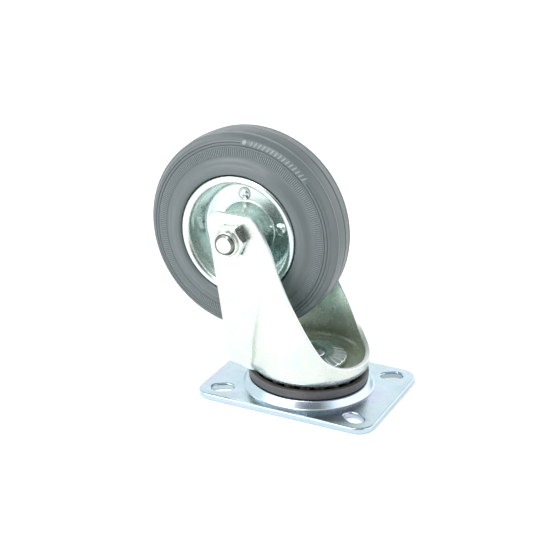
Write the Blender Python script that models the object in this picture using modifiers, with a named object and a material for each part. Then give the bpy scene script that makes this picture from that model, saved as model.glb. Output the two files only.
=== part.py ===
"""Swivel castor with a rectangular top plate, standing upside down on the plate.

The origin is where the swivel axis meets the mounting face. +X runs along the
plate, +Z points from the plate to the wheel and the axle lies along Y.
All sizes are in metres.
"""
import math

import bmesh
import bpy
from mathutils import Matrix, Vector

GAP = 0.0003                    # clearance between pieces that touch
HEAD_STEPS = 44                 # facets around the plate's collar, seal and races
WHEEL_STEPS = 48
RIM_STEPS = 36
AXLE_STEPS = 20

# Top plate
PLATE_LENGTH = 0.114
PLATE_WIDTH = 0.090
PLATE_SHEET = 0.004
PLATE_CORNER = 0.011
PLATE_EDGE = 0.0009
SLOT_SPACING_X = 0.086
SLOT_SPACING_Y = 0.064
SLOT_LENGTH = 0.014
SLOT_WIDTH = 0.0095
COLLAR_FOOT = 0.0405            # radius of the raised collar where it leaves the plate
COLLAR_TOP = 0.009

# Swivel head
FLOOR_BOTTOM = 0.0162           # underside of the crown's floor
SHEET = 0.003                   # thickness of the fork's sheet
FLOOR_TOP = FLOOR_BOTTOM + SHEET
LOAD_BALL = 0.004               # ball radius
LOAD_PITCH = 0.028              # radius of the circle through the ball centres
LOAD_BALLS = 20
LOAD_BALL_Z = (COLLAR_TOP + FLOOR_BOTTOM) / 2 - 0.0001
LOCK_BALL = 0.0025
LOCK_PITCH = 0.0165
LOCK_BALLS = 10
LOCK_BALL_Z = FLOOR_TOP + 0.0018
SEAL_OUTER = 0.037
SEAL_INNER = 0.0336
SEAL_HEIGHT = 0.0053
PIN_SHANK = 0.006
PIN_HEAD = 0.011
CUP_EDGE = 0.0232
CUP_RIDGE = 0.0143
CUP_TOP = 0.0270
CUP_SEAT = 0.0244               # recess floor under the king pin's upper head
CUP_SHEET = 0.0015
FLUTES = 28
FLUTE_DEPTH = 0.0004

# Fork
CROWN_RADIUS = 0.037
CROWN_CORNER = 0.005
CROWN_STRAIGHT = 0.035          # height up to which the crown's wall is upright
CROWN_LEAN = 1 / 14             # how fast the wall then closes in with height
LEG_FACE = 0.0245               # distance from the middle to a leg's outer face
BEND_START = 0.0295             # where the flat leg starts to bend into the crown
FORK_TOP = 0.113
LEG_CORNER = 0.007
FLOOR_BACK = 0.035
PIN_HOLE = 0.008

# Axle
AXLE_X = -0.0425
AXLE_Z = 0.0975
BOLT_RADIUS = 0.006
BOLT_CHAMFER = 0.0013
BOLT_TIP = 0.0359
HEX_FLATS = 0.018
HEX_TURN = math.radians(24)      # of the hexagons about the axle
NUT_HEX = 0.0062                # height of the nut's hexagon
NUT_HEIGHT = 0.0095
NUT_COLLAR = 0.0080
INSERT_WIDTH = 0.0012           # radial room for the nylon ring around the bolt
HEAD_HEIGHT = 0.0064
SPACER_RADIUS = 0.0105
SPACER_THICKNESS = 0.0016
SLEEVE_RADIUS = 0.0075
HUB_BORE = 0.0109
HUB_RADIUS = 0.0124
HUB_HALF = 0.0189
ROLLER = 0.0014
ROLLERS = 8
ROLLER_LENGTH = 0.026
CAGE_HALF = 0.0165

# Wheel
WHEEL_RADIUS = 0.0625
TYRE_HALF = 0.01875             # half the tyre's width, at its bead
BEAD_RADIUS = 0.0412            # where the tyre is widest
RIM_SHEET = 0.0014
RIM_FLANGE = 0.0366
WEB_GAP = 0.0002                # from the wheel's middle plane to each half's web
RIVET_CIRCLE = 0.022
RIVET_SHANK = 0.002
RIVET_FACETS = 12
RIVET_HEAD = 0.0041
RIVET_HEAD_HEIGHT = 0.0021
RIVETS = 4
RIVET_START = math.radians(98)

AXLE_TURN = (-math.pi / 2, 0, 0)    # turns a local +Z into the world's +Y


# ---------------------------------------------------------------- helpers

def clear_scene():
    for item in list(bpy.data.objects):
        bpy.data.objects.remove(item, do_unlink=True)


def make_collection(name):
    collection = bpy.data.collections.new(name)
    bpy.context.scene.collection.children.link(collection)
    return collection


def make_material(name, colour, roughness, metallic):
    material = bpy.data.materials.new(name)
    material.use_nodes = True
    shader = material.node_tree.nodes["Principled BSDF"]
    shader.inputs["Base Color"].default_value = (*colour, 1)
    shader.inputs["Roughness"].default_value = roughness
    shader.inputs["Metallic"].default_value = metallic
    return material


def make_empty(name, location=(0, 0, 0), rotation=(0, 0, 0)):
    empty = bpy.data.objects.new(name, None)
    empty.location = location
    empty.rotation_euler = rotation
    PARTS.objects.link(empty)
    return empty


def add_object(name, mesh, material=None, parent=None):
    """A visible piece; without a material it is a cutter instead."""
    item = bpy.data.objects.new(name, mesh)
    item.parent = parent
    if material:
        PARTS.objects.link(item)
        if material.name not in mesh.materials:
            mesh.materials.append(material)
        mesh.shade_smooth()
        mesh.set_sharp_from_angle(angle=math.radians(35))
    else:
        CUTTERS.objects.link(item)
        item.hide_render = True
        item.display_type = "WIRE"
    return item


def mesh_from(bm, name):
    mesh = bpy.data.meshes.new(name)
    bm.to_mesh(mesh)
    bm.free()
    return mesh


def turned(name, profile, steps, material=None, parent=None, closed=True):
    """A profile of (radius, height) points turned about local Z.

    The points run down the outer side. A closed profile is a ring's section;
    an open one starts and ends on the axis, or is a sheet for Solidify.
    """
    bm = bmesh.new()
    points = [bm.verts.new((radius, 0, height)) for radius, height in profile]
    for first, second in zip(points, points[1:]):
        bm.edges.new((first, second))
    if closed:
        bm.edges.new((points[-1], points[0]))
    item = add_object(name, mesh_from(bm, name), material, parent)
    screw = item.modifiers.new("turn", "SCREW")
    screw.steps = steps
    screw.render_steps = steps
    screw.use_merge_vertices = True
    screw.merge_threshold = 0.00001
    screw.use_smooth_shade = True
    return item


def boolean(item, operation, cutter):
    modifier = item.modifiers.new(cutter.name, "BOOLEAN")
    modifier.operation = operation
    modifier.object = cutter
    modifier.solver = "EXACT"


def cylinder(name, radius, low, high, sides, material=None, parent=None, place=(0, 0)):
    """A cylinder along local Z from low to high, standing at place in X and Y."""
    bm = bmesh.new()
    centre = Matrix.Translation((place[0], place[1], (low + high) / 2))
    bmesh.ops.create_cone(bm, cap_ends=True, segments=sides, radius1=radius,
                          radius2=radius, depth=high - low, matrix=centre)
    return add_object(name, mesh_from(bm, name), material, parent)


def on_circle(radius, count, start=0.0):
    """Evenly spaced places on a circle about the origin."""
    for index in range(count):
        angle = start + 2 * math.pi * index / count
        yield radius * math.cos(angle), radius * math.sin(angle), angle


def rounded_outline(corners, arc_points=6):
    """Points of a polygon whose corners (x, y, radius) are rounded with arcs."""
    outline = []
    for index, (x, y, radius) in enumerate(corners):
        here = Vector((x, y))
        before = Vector(corners[index - 1][:2]) - here
        after = Vector(corners[(index + 1) % len(corners)][:2]) - here
        if radius == 0:
            outline.append(here)
            continue
        half = before.angle(after) / 2
        reach = radius / math.tan(half)
        centre = here + (before.normalized() + after.normalized()).normalized() * (
            radius / math.sin(half))
        first = here + before.normalized() * reach - centre
        turn = first.angle_signed(here + after.normalized() * reach - centre)
        for step in range(arc_points + 1):
            arm = first.copy()
            arm.rotate(Matrix.Rotation(-turn * step / arc_points, 2))
            outline.append(centre + arm)
    return outline


def flat_piece(name, outline, half_thickness):
    """A closed slab with the outline in local XY, as a mesh centred on Z = 0."""
    curve = bpy.data.curves.new(name, "CURVE")
    curve.dimensions = "2D"
    curve.fill_mode = "BOTH"
    curve.extrude = half_thickness
    spline = curve.splines.new("POLY")
    spline.points.add(len(outline) - 1)
    for point, place in zip(spline.points, outline):
        point.co = (place[0], place[1], 0, 1)
    spline.use_cyclic_u = True
    source = bpy.data.objects.new(name, curve)
    bpy.context.scene.collection.objects.link(source)
    graph = bpy.context.evaluated_depsgraph_get()
    mesh = bpy.data.meshes.new_from_object(source.evaluated_get(graph))
    bpy.data.objects.remove(source, do_unlink=True)
    bm = bmesh.new()
    bm.from_mesh(mesh)
    bmesh.ops.remove_doubles(bm, verts=bm.verts, dist=0.00001)
    bmesh.ops.recalc_face_normals(bm, faces=bm.faces)
    bm.to_mesh(mesh)
    bm.free()
    return mesh


def loft(name, sections, material=None, parent=None):
    """A closed solid through sections that all have the same number of points."""
    bm = bmesh.new()
    rings = [[bm.verts.new(point) for point in section] for section in sections]
    count = len(rings[0])
    for low, high in zip(rings, rings[1:]):
        for index in range(count):
            after = (index + 1) % count
            bm.faces.new((low[index], low[after], high[after], high[index]))
    bm.faces.new(rings[0])
    bm.faces.new(rings[-1])
    bmesh.ops.recalc_face_normals(bm, faces=bm.faces)
    return add_object(name, mesh_from(bm, name), material, parent)


# ---------------------------------------------------------------- plate and head

def slot_places():
    """Centre and direction of the four slots, which point at the plate's middle."""
    for side_x in (-1, 1):
        for side_y in (-1, 1):
            x = side_x * SLOT_SPACING_X / 2
            y = side_y * SLOT_SPACING_Y / 2
            yield x, y, math.atan2(y, x)


def make_plate():
    corners = [(side_x * PLATE_LENGTH / 2, side_y * PLATE_WIDTH / 2, PLATE_CORNER)
               for side_x, side_y in ((1, 1), (-1, 1), (-1, -1), (1, -1))]
    mesh = flat_piece("top_plate", rounded_outline(corners, 5), PLATE_SHEET / 2)
    mesh.transform(Matrix.Translation((0, 0, PLATE_SHEET / 2)))
    plate = add_object("top_plate", mesh, ZINC_PLATE)
    edge = plate.modifiers.new("rounded_edge", "BEVEL")
    edge.width = PLATE_EDGE
    edge.segments = 2
    edge.limit_method = "ANGLE"
    edge.angle_limit = math.radians(50)

    collar = turned("collar_rise", (
        (0, COLLAR_TOP), (0.0364, COLLAR_TOP), (0.0383, COLLAR_TOP - 0.0010),
        (0.0394, PLATE_SHEET + 0.0014), (COLLAR_FOOT, PLATE_SHEET - 0.0001),
        (0.0385, PLATE_SHEET / 2), (0, PLATE_SHEET / 2)), HEAD_STEPS, closed=False)
    boolean(plate, "UNION", collar)
    hollow = turned("collar_hollow", (
        (0, COLLAR_TOP - PLATE_SHEET), (0.0325, COLLAR_TOP - PLATE_SHEET),
        (0.0352, -0.001), (0, -0.001)), HEAD_STEPS, closed=False)
    boolean(plate, "DIFFERENCE", hollow)
    boolean(plate, "DIFFERENCE", load_race)
    boolean(plate, "DIFFERENCE",
            cylinder("king_pin_hole", PIN_SHANK + GAP, -0.001, 0.02, AXLE_STEPS))
    for number, (x, y, angle) in enumerate(slot_places(), 1):
        half_length, half_width = SLOT_LENGTH / 2, SLOT_WIDTH / 2
        ends = [(side_x * half_length, side_y * half_width, half_width * 0.999)
                for side_x, side_y in ((1, 1), (-1, 1), (-1, -1), (1, -1))]
        cutter = add_object(f"slot_{number}", flat_piece(
            f"slot_{number}", rounded_outline(ends, 4), PLATE_SHEET))
        cutter.location = (x, y, PLATE_SHEET / 2)
        cutter.rotation_euler = (0, 0, angle)
        boolean(plate, "DIFFERENCE", cutter)


def make_seal():
    low = COLLAR_TOP + GAP
    high = low + SEAL_HEIGHT
    chamfer = 0.0004
    turned("seal_ring", (
        (SEAL_INNER, high), (SEAL_OUTER - chamfer, high), (SEAL_OUTER, high - chamfer),
        (SEAL_OUTER, low + chamfer), (SEAL_OUTER - chamfer, low), (SEAL_INNER, low)),
        HEAD_STEPS, BLACK_PLASTIC)


def make_king_pin():
    """The rivet whose lower head is flush with the mounting face."""
    under_plate = COLLAR_TOP - PLATE_SHEET - GAP
    seat = CUP_SEAT + GAP
    turned("king_pin", (
        (0, seat + 0.0029), (0.0055, seat + 0.0025), (0.0090, seat + 0.0012),
        (0.0100, seat), (PIN_SHANK, seat),
        (PIN_SHANK, under_plate), (PIN_HEAD, under_plate), (PIN_HEAD, 0), (0, 0)),
        AXLE_STEPS, ZINC_BRIGHT, closed=False)


def make_retaining_cup():
    """A fluted cone washer: every second point of its slope is raised."""
    underside = CUP_SEAT - CUP_SHEET
    profile = (
        (PIN_SHANK + GAP, CUP_SEAT, 0), (0.0112, CUP_SEAT, 0), (0.0130, CUP_TOP, 0),
        (CUP_RIDGE, CUP_TOP, 0), (0.0165, CUP_TOP - 0.0010, 1),
        (0.0222, 0.0233, 1), (CUP_EDGE, 0.0220, 0), (CUP_EDGE - 0.0002, 0.0211, 0),
        (0.0217, 0.0212, 0), (0.0140, 0.0254, 0), (0.0128, underside, 0),
        (PIN_SHANK + GAP, underside, 0))
    around = 2 * FLUTES
    bm = bmesh.new()
    rings = []
    for index in range(around):
        angle = 2 * math.pi * index / around
        lift = FLUTE_DEPTH * (index % 2)
        rings.append([bm.verts.new((radius * math.cos(angle), radius * math.sin(angle),
                                    height + lift * fluted))
                      for radius, height, fluted in profile])
    count = len(profile)
    for index in range(around):
        ring, after = rings[index], rings[(index + 1) % around]
        for place in range(count):
            far = (place + 1) % count
            bm.faces.new((ring[place], after[place], after[far], ring[far]))
    bmesh.ops.recalc_face_normals(bm, faces=bm.faces)
    add_object("retaining_cup", mesh_from(bm, "retaining_cup"), ZINC_BRIGHT)


def make_ball_row(name, radius, pitch, height, count, parent):
    bm = bmesh.new()
    bmesh.ops.create_icosphere(bm, subdivisions=2, radius=radius)
    mesh = mesh_from(bm, name)
    for number, (x, y, _) in enumerate(on_circle(pitch, count), 1):
        ball = add_object(f"{name}_{number:02d}", mesh, BALL_STEEL, parent)
        ball.location = (x, y, height)


def race_cutter(name, ball, pitch, height):
    """A ring of round section in which a row of balls runs with clearance."""
    bpy.ops.mesh.primitive_torus_add(
        major_radius=pitch, minor_radius=ball + GAP, major_segments=HEAD_STEPS,
        minor_segments=10, location=(0, 0, height))
    race = bpy.context.object
    race.name = name
    for collection in list(race.users_collection):
        collection.objects.unlink(race)
    CUTTERS.objects.link(race)
    race.hide_render = True
    race.display_type = "WIRE"
    return race


# ---------------------------------------------------------------- fork

def crown_section(radius, half_width, back, height):
    """The fork's outline seen along the swivel axis, at one height.

    Two flat legs at the half width bend outwards, with a fillet, into a circle
    about the swivel axis. The legs end at -back.
    """
    bend = BEND_START
    fillet = (bend ** 2 + half_width ** 2 - radius ** 2) / (2 * (radius - half_width))
    across = half_width + fillet
    sweep = math.atan2(bend, across)        # angle that the fillet turns through
    side = []
    for step in range(5):
        angle = sweep * step / 4
        side.append((-bend + fillet * math.sin(angle), across - fillet * math.cos(angle)))
    start = math.atan2(side[-1][1], side[-1][0])
    arc = []
    steps = 24
    for step in range(1, steps):
        angle = start * (1 - 2 * step / steps)
        arc.append((radius * math.cos(angle), radius * math.sin(angle)))
    far = [(-back, half_width)] + side
    near = [(x, -y) for x, y in reversed(far)]
    return [(x, y, height) for x, y in far + arc + near]


def crown_radius(height):
    return CROWN_RADIUS - max(0.0, height - CROWN_STRAIGHT) * CROWN_LEAN


def crown_sections(inset, bottom, top, back):
    """Sections from the rounded bottom corner up to the top of the legs."""
    corner = CROWN_CORNER - inset
    half_width = LEG_FACE - inset
    sections = []
    for angle in (0, 35, 65, 90):
        turn = math.radians(angle)
        radius = CROWN_RADIUS - inset - corner * (1 - math.sin(turn))
        height = bottom + corner * (1 - math.cos(turn))
        sections.append(crown_section(radius, half_width, back, height))
    for height in (CROWN_STRAIGHT, 0.065, top):
        radius = crown_radius(height) - inset
        sections.append(crown_section(radius, half_width, back, height))
    return sections


def side_outline():
    """The fork seen along the axle: trailing edge, leg top and slanted mouth."""
    return rounded_outline((
        (-0.0606, FORK_TOP, LEG_CORNER),
        (-0.0427, 0.0188, 0.0005),
        (-0.0285, 0.0160, 0),
        (-0.0200, 0.0100, 0),
        (0.0500, 0.0100, 0),
        (0.0500, 0.0243, 0),
        (0.0285, 0.0243, 0.030),
        (-0.0295, FORK_TOP, LEG_CORNER)), 8)


def floor_back_outline():
    """The open ground between the legs, behind the round end of the floor."""
    half = LEG_FACE - SHEET
    start = math.asin(half / FLOOR_BACK)
    arc = []
    for step in range(9):
        angle = math.pi - start + 2 * start * step / 8
        arc.append((FLOOR_BACK * math.cos(angle), FLOOR_BACK * math.sin(angle)))
    return [(-0.070, -half), (-0.070, half)] + arc


def make_fork(parent):
    fork = loft("fork", crown_sections(0, FLOOR_BOTTOM, FORK_TOP + 0.001, 0.064),
                ZINC_FORK, parent)
    inside = loft("fork_inside", crown_sections(SHEET, FLOOR_TOP, FORK_TOP + 0.002, 0.066))
    boolean(fork, "DIFFERENCE", inside)
    rib = LOAD_PITCH
    boolean(fork, "UNION", turned("race_rib", (
        (rib - 0.0016, FLOOR_TOP + 0.0008), (rib + 0.0012, FLOOR_TOP + 0.0008),
        (rib + 0.0026, FLOOR_TOP - 0.0007), (rib - 0.0030, FLOOR_TOP - 0.0007)),
        RIM_STEPS))
    outline = add_object("side_outline", flat_piece("side_outline", side_outline(), 0.060))
    outline.rotation_euler = (math.pi / 2, 0, 0)
    boolean(fork, "INTERSECT", outline)
    back = add_object("floor_back", flat_piece("floor_back", floor_back_outline(), 0.006))
    back.location = (0, 0, FLOOR_BOTTOM - 0.0025)
    boolean(fork, "DIFFERENCE", back)
    boolean(fork, "DIFFERENCE", load_race)
    boolean(fork, "DIFFERENCE", race_cutter("lock_race", LOCK_BALL, LOCK_PITCH, LOCK_BALL_Z))
    boolean(fork, "DIFFERENCE", cylinder("floor_hole", PIN_HOLE, 0.012, 0.022, AXLE_STEPS))
    bolt_hole = cylinder("bolt_holes", BOLT_RADIUS + GAP, -0.040, 0.040, AXLE_STEPS)
    bolt_hole.location = (AXLE_X, 0, AXLE_Z)
    bolt_hole.rotation_euler = AXLE_TURN
    boolean(fork, "DIFFERENCE", bolt_hole)


# ---------------------------------------------------------------- axle
# Along the axle, local +Z is the far side (+Y) and -Z the near side (-Y).

def hexagon(name, flats, low, high, material, parent):
    """A hexagon bar with chamfered corners on both ends."""
    item = cylinder(name, flats / math.sqrt(3), low, high, 6, material, parent)
    item.data.transform(Matrix.Rotation(HEX_TURN, 4, "Z"))
    chamfer = turned(f"{name}_chamfer", (
        (0, high + 0.0001), (flats * 0.49, high + 0.0001), (flats * 0.60, high - 0.0012),
        (flats * 0.60, low + 0.0012), (flats * 0.49, low - 0.0001),
        (0, low - 0.0001)), 24, None, parent, closed=False)
    boolean(item, "INTERSECT", chamfer)
    return item


def make_axle_bolt(parent):
    bolt = hexagon("axle_bolt", HEX_FLATS, LEG_FACE + GAP, LEG_FACE + GAP + HEAD_HEIGHT,
                   ZINC_BRIGHT, parent)
    shank = turned("bolt_shank", (
        (0, LEG_FACE + 0.003), (BOLT_RADIUS, LEG_FACE + 0.003),
        (BOLT_RADIUS, -BOLT_TIP + BOLT_CHAMFER), (BOLT_RADIUS - BOLT_CHAMFER, -BOLT_TIP),
        (0, -BOLT_TIP)), AXLE_STEPS, None, parent, closed=False)
    boolean(bolt, "UNION", shank)


def make_axle_nut(parent):
    """Lock nut: a hexagon with a round collar, open inside for the nylon ring."""
    base = -LEG_FACE - GAP
    nut = hexagon("axle_nut", HEX_FLATS, base - NUT_HEX, base, ZINC_BRIGHT, parent)
    top = base - NUT_HEIGHT
    boolean(nut, "UNION", turned("nut_collar", (
        (0, base - NUT_HEX + 0.002), (NUT_COLLAR, base - NUT_HEX + 0.002),
        (NUT_COLLAR, top + 0.0010), (NUT_COLLAR - 0.0008, top), (0, top)),
        AXLE_STEPS, None, parent, closed=False))
    boolean(nut, "DIFFERENCE", turned("nut_bore", (
        (0, base + 0.001), (BOLT_RADIUS + GAP, base + 0.001),
        (BOLT_RADIUS + GAP, top + 0.0030), (BOLT_RADIUS + INSERT_WIDTH, top + 0.0030),
        (BOLT_RADIUS + INSERT_WIDTH, top - 0.001), (0, top - 0.001)),
        AXLE_STEPS, None, parent, closed=False))
    inner, outer = BOLT_RADIUS + GAP, BOLT_RADIUS + INSERT_WIDTH - GAP
    turned("nut_insert", (
        (inner, top + 0.0030 - GAP), (outer, top + 0.0030 - GAP),
        (outer, top + 0.0004), (inner, top + 0.0004)), AXLE_STEPS, NYLON, parent)


def make_axle_inner(parent):
    """Spacer washers and the sleeve that the bolt clamps between the legs."""
    bore = BOLT_RADIUS + GAP
    inner_face = LEG_FACE - SHEET - GAP
    for name, side in (("spacer_near", -1), ("spacer_far", 1)):
        faces = (side * inner_face, side * (inner_face - SPACER_THICKNESS))
        low, high = min(faces), max(faces)
        turned(name, ((bore, high), (SPACER_RADIUS, high), (SPACER_RADIUS, low),
                      (bore, low)), AXLE_STEPS, ZINC_BRIGHT, parent)
    end = inner_face - SPACER_THICKNESS - GAP
    turned("axle_sleeve", ((bore, end), (SLEEVE_RADIUS, end), (SLEEVE_RADIUS, -end),
                           (bore, -end)), AXLE_STEPS, BALL_STEEL, parent)


def make_bearing(parent):
    """Roller cage with one pocket for each roller."""
    pitch = (SLEEVE_RADIUS + HUB_BORE) / 2
    inner, outer = pitch - 0.0009, pitch + 0.0009
    cage = turned("roller_cage", ((inner, CAGE_HALF), (outer, CAGE_HALF),
                                  (outer, -CAGE_HALF), (inner, -CAGE_HALF)),
                  24, CAGE_PLASTIC, parent)
    bm = bmesh.new()
    for x, y, angle in on_circle(pitch, ROLLERS):
        place = Matrix.Translation((x, y, 0)) @ Matrix.Rotation(angle, 4, "Z")
        size = Matrix.Diagonal((0.004, 2 * (ROLLER + GAP), ROLLER_LENGTH + 2 * GAP, 1))
        bmesh.ops.create_cube(bm, size=1, matrix=place @ size)
    boolean(cage, "DIFFERENCE",
            add_object("cage_pockets", mesh_from(bm, "cage_pockets"), None, parent))
    for number, (x, y, _) in enumerate(on_circle(pitch, ROLLERS), 1):
        cylinder(f"roller_{number}", ROLLER, -ROLLER_LENGTH / 2, ROLLER_LENGTH / 2, 10,
                 BALL_STEEL, parent, (x, y))


# ---------------------------------------------------------------- wheel

def make_rivet_holes(parent):
    bm = bmesh.new()
    for x, y, _ in on_circle(RIVET_CIRCLE, RIVETS, -RIVET_START):
        bmesh.ops.create_cone(bm, cap_ends=True, segments=RIVET_FACETS, depth=0.008,
                              radius1=RIVET_SHANK + GAP, radius2=RIVET_SHANK + GAP,
                              matrix=Matrix.Translation((x, y, 0)))
    return add_object("rivet_holes", mesh_from(bm, "rivet_holes"), None, parent)


def make_rim_half(name, side, holes, parent):
    """A pressed dish: rolled flange, bowl, flat web with rivets, hub boss."""
    boss = HUB_RADIUS + GAP + RIM_SHEET / 2
    web = WEB_GAP + RIM_SHEET / 2
    sheet = [
        (RIM_FLANGE, 0.0160), (RIM_FLANGE - 0.0009, 0.0175),
        (RIM_FLANGE - 0.0024, 0.0170), (RIM_FLANGE - 0.0034, 0.0140),
        (0.0299, 0.0033), (0.0276, web), (0.0178, web),
        (0.0156, web + 0.0025), (0.0143, 0.0105), (boss, 0.0184)]
    profile = [(radius, side * height) for radius, height in sheet]
    if side < 0:
        profile.reverse()
    half = turned(name, profile, RIM_STEPS, ZINC_RIM, parent, closed=False)
    solid = half.modifiers.new("sheet", "SOLIDIFY")
    solid.thickness = RIM_SHEET
    solid.offset = 0
    solid.use_even_offset = True
    solid.use_rim = True
    boolean(half, "DIFFERENCE", holes)


def make_rivets(parent):
    """Domed rivets, a head on each side of the two webs."""
    outside = WEB_GAP + RIM_SHEET + GAP
    top = outside + RIVET_HEAD_HEIGHT
    half = [(0, top), (RIVET_HEAD * 0.7, top - 0.0006), (RIVET_HEAD, outside),
            (RIVET_SHANK, outside)]
    profile = half + [(radius, -height) for radius, height in reversed(half)]
    for number, (x, y, _) in enumerate(on_circle(RIVET_CIRCLE, RIVETS, -RIVET_START), 1):
        rivet = turned(f"rim_rivet_{number}", profile, RIVET_FACETS, ZINC_RIM, parent,
                       closed=False)
        rivet.location = (x, y, 0)


def make_tyre(parent):
    """Solid rubber: narrow crowned tread, side wall, wide bead, seat on the rim."""
    half = [
        (WHEEL_RADIUS, 0), (WHEEL_RADIUS - 0.0008, 0.0070), (WHEEL_RADIUS - 0.0022, 0.0100),
        (WHEEL_RADIUS - 0.0050, 0.0134), (0.0540, 0.0143), (0.0490, 0.0151),
        (0.0455, 0.0167), (BEAD_RADIUS + 0.0015, TYRE_HALF - 0.0002),
        (BEAD_RADIUS, TYRE_HALF), (0.0391, 0.0180), (0.0379, 0.0164), (0.0379, 0.0146),
        (0.0345, 0.0135), (0.0312, 0.0030)]
    down = [(radius, -height) for radius, height in half[1:]]
    upper = [(radius, height) for radius, height in reversed(half)]
    turned("tyre", upper + down, WHEEL_STEPS, TYRE_GREY, parent)


def make_hub_tube(parent):
    turned("hub_tube", ((HUB_BORE, HUB_HALF), (HUB_RADIUS, HUB_HALF),
                        (HUB_RADIUS, -HUB_HALF), (HUB_BORE, -HUB_HALF)),
           RIM_STEPS, BALL_STEEL, parent)


# ---------------------------------------------------------------- assembly

clear_scene()
PARTS = make_collection("swivel_castor")
CUTTERS = make_collection("cutters")

ZINC_PLATE = make_material("zinc_plate", (0.62, 0.70, 0.80), 0.30, 1.0)
ZINC_FORK = make_material("zinc_fork", (0.72, 0.77, 0.76), 0.32, 1.0)
ZINC_RIM = make_material("zinc_rim", (0.60, 0.70, 0.72), 0.25, 1.0)
ZINC_BRIGHT = make_material("zinc_bright", (0.70, 0.72, 0.70), 0.25, 1.0)
BALL_STEEL = make_material("ball_steel", (0.55, 0.56, 0.57), 0.15, 1.0)
TYRE_GREY = make_material("tyre_grey", (0.22, 0.26, 0.27), 0.60, 0.0)
BLACK_PLASTIC = make_material("black_plastic", (0.03, 0.03, 0.03), 0.40, 0.0)
CAGE_PLASTIC = make_material("cage_plastic", (0.65, 0.63, 0.55), 0.50, 0.0)
NYLON = make_material("nylon", (0.70, 0.72, 0.72), 0.45, 0.0)

load_race = race_cutter("load_race", LOAD_BALL, LOAD_PITCH, LOAD_BALL_Z)
make_plate()
make_seal()
make_king_pin()
make_retaining_cup()

swivel = make_empty("swivel_axis")
load_row = make_empty("load_row_axis")
lock_row = make_empty("lock_row_axis")
make_ball_row("load_ball", LOAD_BALL, LOAD_PITCH, LOAD_BALL_Z, LOAD_BALLS, load_row)
make_ball_row("lock_ball", LOCK_BALL, LOCK_PITCH, LOCK_BALL_Z, LOCK_BALLS, lock_row)
make_fork(swivel)

axle = make_empty("axle_axis", (AXLE_X, 0, AXLE_Z), AXLE_TURN)
axle.parent = swivel
make_axle_bolt(axle)
make_axle_nut(axle)
make_axle_inner(axle)

bearing = make_empty("bearing_axis", (AXLE_X, 0, AXLE_Z), AXLE_TURN)
bearing.parent = swivel
make_bearing(bearing)

wheel = make_empty("wheel_axis", (AXLE_X, 0, AXLE_Z), AXLE_TURN)
wheel.parent = swivel
rivet_holes = make_rivet_holes(wheel)
make_rim_half("rim_near", -1, rivet_holes, wheel)
make_rim_half("rim_far", 1, rivet_holes, wheel)
make_rivets(wheel)
make_tyre(wheel)
make_hub_tube(wheel)
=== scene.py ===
"""Looks of the swivel castor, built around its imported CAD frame.

Every piece is a fine mesh that stands for one or more CAD nodes. Main sizes come
from the CAD nodes' boxes, and the rest are given here. Lengths are in metres.
The castor stands on its plate: +Z points to the wheel, and the axle lies along Y.
"""

import math

import bmesh
import bpy
from mathutils import Matrix, Vector


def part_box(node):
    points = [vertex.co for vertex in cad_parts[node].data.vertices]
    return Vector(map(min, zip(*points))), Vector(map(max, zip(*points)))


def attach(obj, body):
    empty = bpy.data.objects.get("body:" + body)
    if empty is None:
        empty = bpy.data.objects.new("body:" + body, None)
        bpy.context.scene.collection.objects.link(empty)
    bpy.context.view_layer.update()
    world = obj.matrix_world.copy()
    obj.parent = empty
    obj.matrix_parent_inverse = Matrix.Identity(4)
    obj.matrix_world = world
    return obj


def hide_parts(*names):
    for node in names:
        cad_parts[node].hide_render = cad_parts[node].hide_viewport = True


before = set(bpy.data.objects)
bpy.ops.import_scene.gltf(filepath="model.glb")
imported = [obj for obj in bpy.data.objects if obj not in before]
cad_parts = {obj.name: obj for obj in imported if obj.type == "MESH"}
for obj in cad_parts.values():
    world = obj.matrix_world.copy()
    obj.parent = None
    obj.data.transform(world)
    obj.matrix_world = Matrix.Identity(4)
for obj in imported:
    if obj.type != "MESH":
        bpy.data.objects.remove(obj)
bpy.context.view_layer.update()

# ---- sizes from the frame
PLATE_LOW, PLATE_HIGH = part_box("top_plate")
PLATE_LENGTH = PLATE_HIGH.x - PLATE_LOW.x
PLATE_WIDTH = PLATE_HIGH.y - PLATE_LOW.y
COLLAR_TOP = PLATE_HIGH.z
SEAL_LOW, SEAL_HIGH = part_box("seal_ring")
FORK_LOW, FORK_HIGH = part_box("fork")
FLOOR_BOTTOM = FORK_LOW.z
FORK_TOP = FORK_HIGH.z
CROWN_RADIUS = FORK_HIGH.x
PIN_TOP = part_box("king_pin")[1].z
CUP_LOW, CUP_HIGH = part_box("retaining_cup")
TYRE_LOW, TYRE_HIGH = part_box("tyre")
WHEEL_RADIUS = (TYRE_HIGH.z - TYRE_LOW.z) / 2
TYRE_HALF = TYRE_HIGH.y
AXLE = (TYRE_LOW + TYRE_HIGH) / 2
NUT_TIP = -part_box("axle_nut")[0].y
BOLT_TIP = -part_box("axle_bolt")[0].y
HEAD_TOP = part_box("axle_bolt")[1].y
SPACER_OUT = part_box("spacer_far")[1].y
SPACER_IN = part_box("spacer_far")[0].y
HUB_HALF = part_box("hub_tube")[1].y

# ---- other sizes
GAP = 0.0003
PLATE_SHEET = 0.004
PLATE_CORNER = 0.011
PLATE_ROUND = 0.0011            # how far the plate's edges are rounded off
SLOT_SPACING = (0.086, 0.064)
SLOT_SIZE = (0.014, 0.0095)
COLLAR_FOOT = 0.0405
PIN_SHANK = 0.006
PIN_HEAD = 0.011
PIN_TOP_HEAD = 0.0029           # height of its upper head
CUP_SHEET = 0.0015
FLUTES = 28
LOAD_BALL = (0.004, 0.028, 20)  # ball radius, radius of the row, number of balls
LOCK_BALL = (0.0025, 0.0165, 20)

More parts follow.
